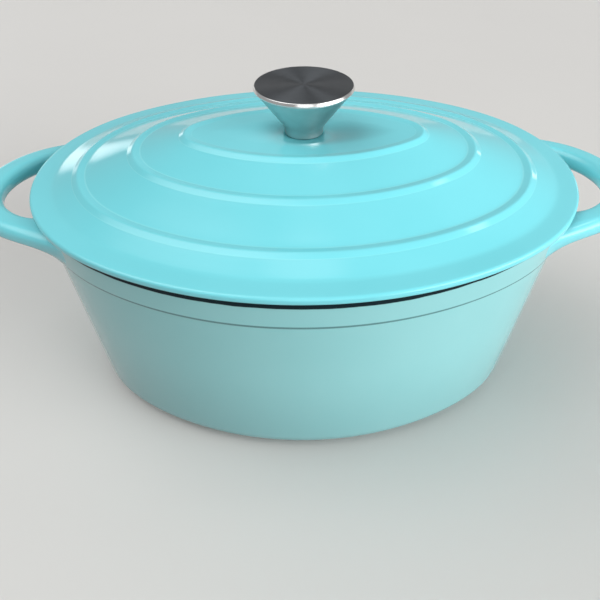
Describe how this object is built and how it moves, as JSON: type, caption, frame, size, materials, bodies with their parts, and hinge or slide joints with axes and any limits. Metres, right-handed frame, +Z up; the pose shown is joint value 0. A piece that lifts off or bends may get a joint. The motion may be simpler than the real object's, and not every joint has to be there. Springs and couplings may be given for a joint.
{
  "type": "dutch oven",
  "caption": "Oval enamelled cast iron dutch oven with a ribbed lift-off lid, a flared steel knob and loop handles.",
  "frame": {"origin": "middle of the pot's flat base, on the surface it stands on", "axes": "+X along the oval's length through both handles, +Y across it, +Z up through the knob"},
  "size_m": [0.3634, 0.23, 0.1716],
  "materials": {
    "enamelled_iron": "glossy aqua vitreous enamel over grey iron, pale inside, matte black at the rim",
    "satin_steel": "satin stainless steel",
    "brushed_steel": "circular brushed top, polished edge",
    "plated_steel": "bright plated fastener"
  },
  "bodies": {
    "pot": {"pot": "enamelled_iron"},
    "lid": {"lid": "enamelled_iron", "knob_body": "satin_steel", "knob_cap": "brushed_steel", "knob_insert": "plated_steel", "knob_screw": "plated_steel", "flat_washer": "plated_steel", "lock_washer": "plated_steel"}
  },
  "joints": [
    {"name": "lid_lift", "type": "slide", "parent": "pot", "child": "lid", "axis": [0, 0, 1], "range_m": [0, 0.16]}
  ]
}
